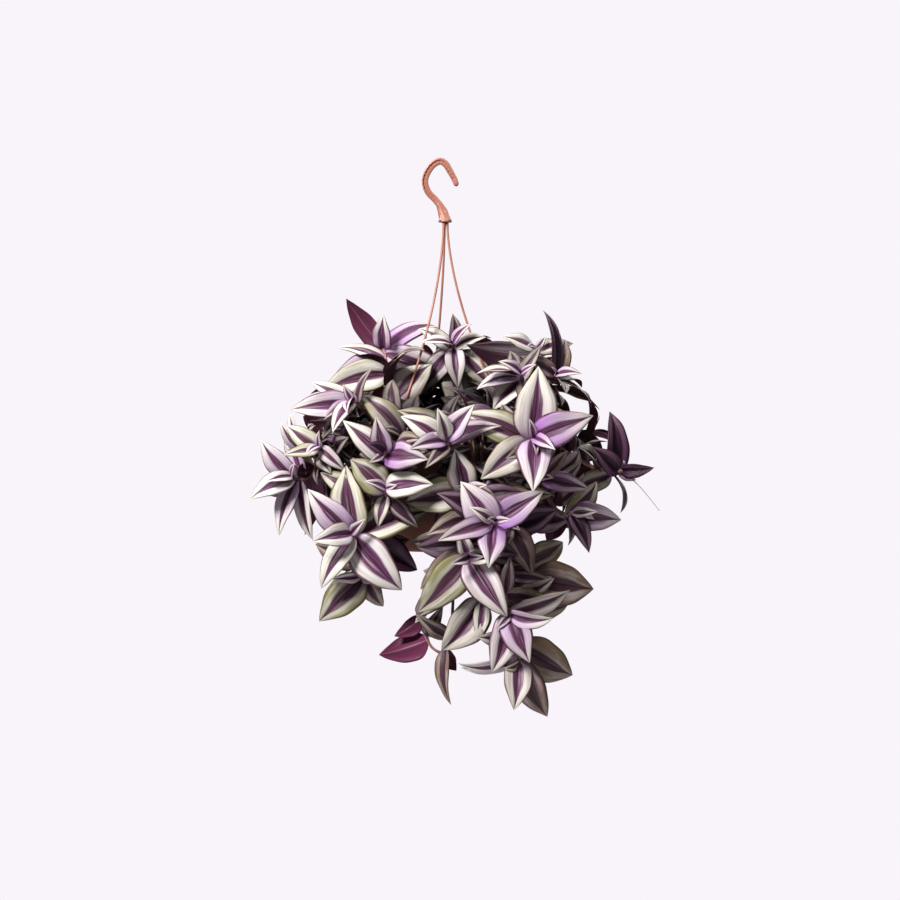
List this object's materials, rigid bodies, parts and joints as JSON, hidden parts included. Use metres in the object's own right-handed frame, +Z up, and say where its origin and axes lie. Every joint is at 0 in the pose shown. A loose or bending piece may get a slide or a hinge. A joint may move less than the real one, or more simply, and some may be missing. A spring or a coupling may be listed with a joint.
{
  "type": "hanging potted tradescantia",
  "caption": "Trailing house plant with striped silver and purple leaves, spilling over a small plastic pot that hangs from a moulded hook by three thin strands.",
  "frame": {"origin": "the hook's seat, the inner top of its bend, where a rod or ceiling hook carries the plant", "axes": "+Z up along the hanging direction; -Y towards the front, which shows the trailing shoots; +X to the right as seen from the front"},
  "size_m": [0.3451, 0.3012, 0.4801],
  "materials": {
    "hanger_plastic": "satin terracotta-coloured plastic",
    "pot_plastic": "matt terracotta-coloured plastic",
    "soil": "rough, dark, loose potting mix",
    "foliage": "satin leaves, silver bands with purple midribs and margins, purple undersides"
  },
  "bodies": {
    "root": {"hanger_hook": "hanger_plastic", "hanger_strand_1": "hanger_plastic", "hanger_strand_2": "hanger_plastic", "hanger_strand_3": "hanger_plastic", "pot": "pot_plastic", "soil": "soil", "shoot_01": "foliage", "shoot_02": "foliage", "shoot_03": "foliage", "shoot_04": "foliage", "shoot_05": "foliage", "shoot_06": "foliage", "shoot_07": "foliage", "shoot_08": "foliage", "shoot_09": "foliage", "shoot_10": "foliage", "shoot_11": "foliage", "shoot_12": "foliage", "shoot_13": "foliage", "shoot_14": "foliage", "shoot_15": "foliage", "shoot_16": "foliage", "shoot_17": "foliage", "shoot_18": "foliage", "shoot_19": "foliage", "shoot_20": "foliage", "shoot_21": "foliage", "shoot_22": "foliage", "shoot_23": "foliage", "shoot_24": "foliage", "shoot_25": "foliage", "shoot_26": "foliage", "shoot_27": "foliage", "shoot_28": "foliage", "shoot_29": "foliage", "shoot_30": "foliage", "shoot_31": "foliage", "shoot_32": "foliage", "shoot_33": "foliage", "shoot_34": "foliage", "shoot_35": "foliage", "shoot_36": "foliage", "shoot_37": "foliage", "shoot_38": "foliage", "shoot_39": "foliage", "shoot_40": "foliage", "shoot_41": "foliage", "shoot_42": "foliage", "shoot_43": "foliage", "shoot_44": "foliage", "shoot_45": "foliage", "shoot_46": "foliage", "shoot_47": "foliage", "shoot_48": "foliage", "shoot_49": "foliage"}
  },
  "joints": []
}
